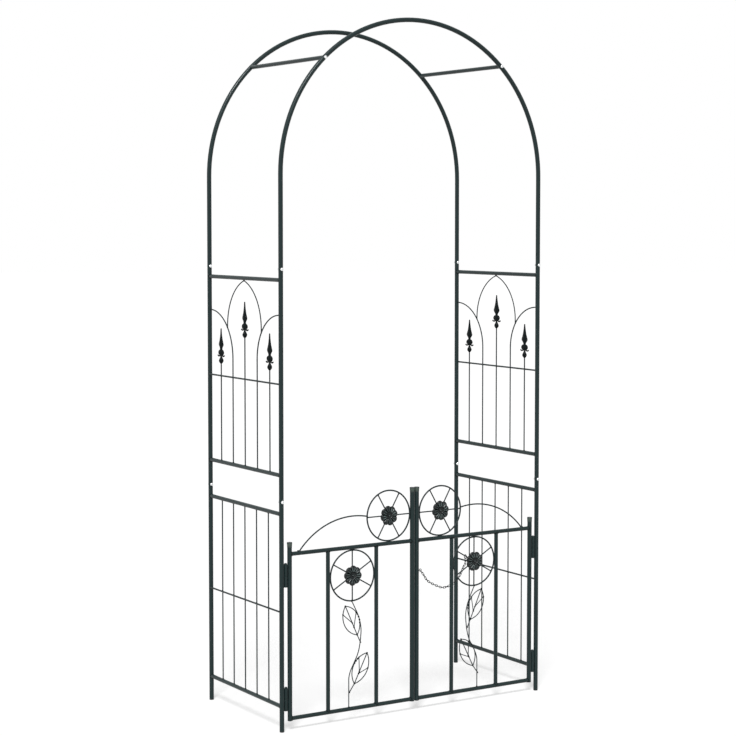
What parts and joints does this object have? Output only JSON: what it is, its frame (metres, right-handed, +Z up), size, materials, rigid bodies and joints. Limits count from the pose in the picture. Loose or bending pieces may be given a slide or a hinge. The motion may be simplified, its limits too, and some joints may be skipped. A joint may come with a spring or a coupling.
{
  "type": "garden arch with gate",
  "caption": "Round-topped tubular steel garden arch with trellis side panels and a pair of hinged gate leaves that carry flower-wheel ornament and a closing chain.",
  "frame": {"origin": "on the ground, midway between the four feet", "axes": "+Z up along the posts, +Y from the gate through the arch to its rear, +X to the right seen from the gate side"},
  "size_m": [1.0805, 0.536, 2.4079],
  "materials": {
    "coated_steel": "fine powder coat, satin",
    "coated_casting": "powder coat over a sand-cast surface, satin",
    "coated_chain": "dipped paint, semi-gloss",
    "zinc_plated_steel": "bright zinc plate",
    "grey_plastic": "moulded polyethylene, matt",
    "black_plastic": "moulded polyethylene, matt"
  },
  "bodies": {
    "arch_frame": {"front_left_lower_post": "coated_steel", "front_left_upper_post": "coated_steel", "front_right_lower_post": "coated_steel", "front_right_upper_post": "coated_steel", "rear_left_lower_post": "coated_steel", "rear_left_upper_post": "coated_steel", "rear_right_lower_post": "coated_steel", "rear_right_upper_post": "coated_steel", "front_arch_tube": "coated_steel", "rear_arch_tube": "coated_steel", "left_arch_crossbar": "coated_steel", "right_arch_crossbar": "coated_steel", "crossbar_thread_inserts": "zinc_plated_steel", "crossbar_screws": "zinc_plated_steel", "post_joint_bolts": "zinc_plated_steel", "post_joint_nuts": "zinc_plated_steel", "post_foot_plugs": "black_plastic", "left_lower_panel_rails": "coated_steel", "left_lower_panel_bars": "coated_steel", "left_upper_panel_rails": "coated_steel", "left_upper_panel_bars": "coated_steel", "right_lower_panel_rails": "coated_steel", "right_lower_panel_bars": "coated_steel", "right_upper_panel_rails": "coated_steel", "right_upper_panel_bars": "coated_steel", "panel_mid_wires": "coated_steel", "panel_lancet_wires": "coated_steel", "spear_finials": "coated_casting", "hinge_post_knuckles": "coated_steel", "hinge_pins": "coated_steel"},
    "left_gate": {"left_gate_hinge_stile": "coated_steel", "left_gate_meeting_stile": "coated_steel", "left_gate_top_rail": "coated_steel", "left_gate_bottom_rail": "coated_steel", "left_gate_uprights": "coated_steel", "left_gate_wheel_rings": "coated_steel", "left_gate_wheel_spokes": "coated_steel", "left_gate_rosettes": "coated_casting", "left_gate_crest_wire": "coated_steel", "left_gate_stem_wire": "coated_steel", "left_gate_leaf_wires": "coated_steel", "left_gate_stile_end_caps": "grey_plastic", "left_gate_hinge_knuckles": "coated_steel"},
    "right_gate": {"right_gate_hinge_stile": "coated_steel", "right_gate_meeting_stile": "coated_steel", "right_gate_top_rail": "coated_steel", "right_gate_bottom_rail": "coated_steel", "right_gate_uprights": "coated_steel", "right_gate_wheel_rings": "coated_steel", "right_gate_wheel_spokes": "coated_steel", "right_gate_rosettes": "coated_casting", "right_gate_crest_wire": "coated_steel", "right_gate_stem_wire": "coated_steel", "right_gate_leaf_wires": "coated_steel", "right_gate_stile_end_caps": "grey_plastic", "right_gate_hinge_knuckles": "coated_steel", "chain_eye": "coated_chain", "chain_links": "coated_chain", "chain_end_ring": "coated_chain"}
  },
  "joints": [
    {"name": "left_gate_swing", "type": "hinge", "parent": "arch_frame", "child": "left_gate", "pos_m": [-0.5165, -0.255, 0.31], "axis": [0, 0, 1], "range_deg": [-105, 85]},
    {"name": "right_gate_swing", "type": "hinge", "parent": "arch_frame", "child": "right_gate", "pos_m": [0.5165, -0.255, 0.31], "axis": [0, 0, 1], "range_deg": [-85, 105]}
  ]
}
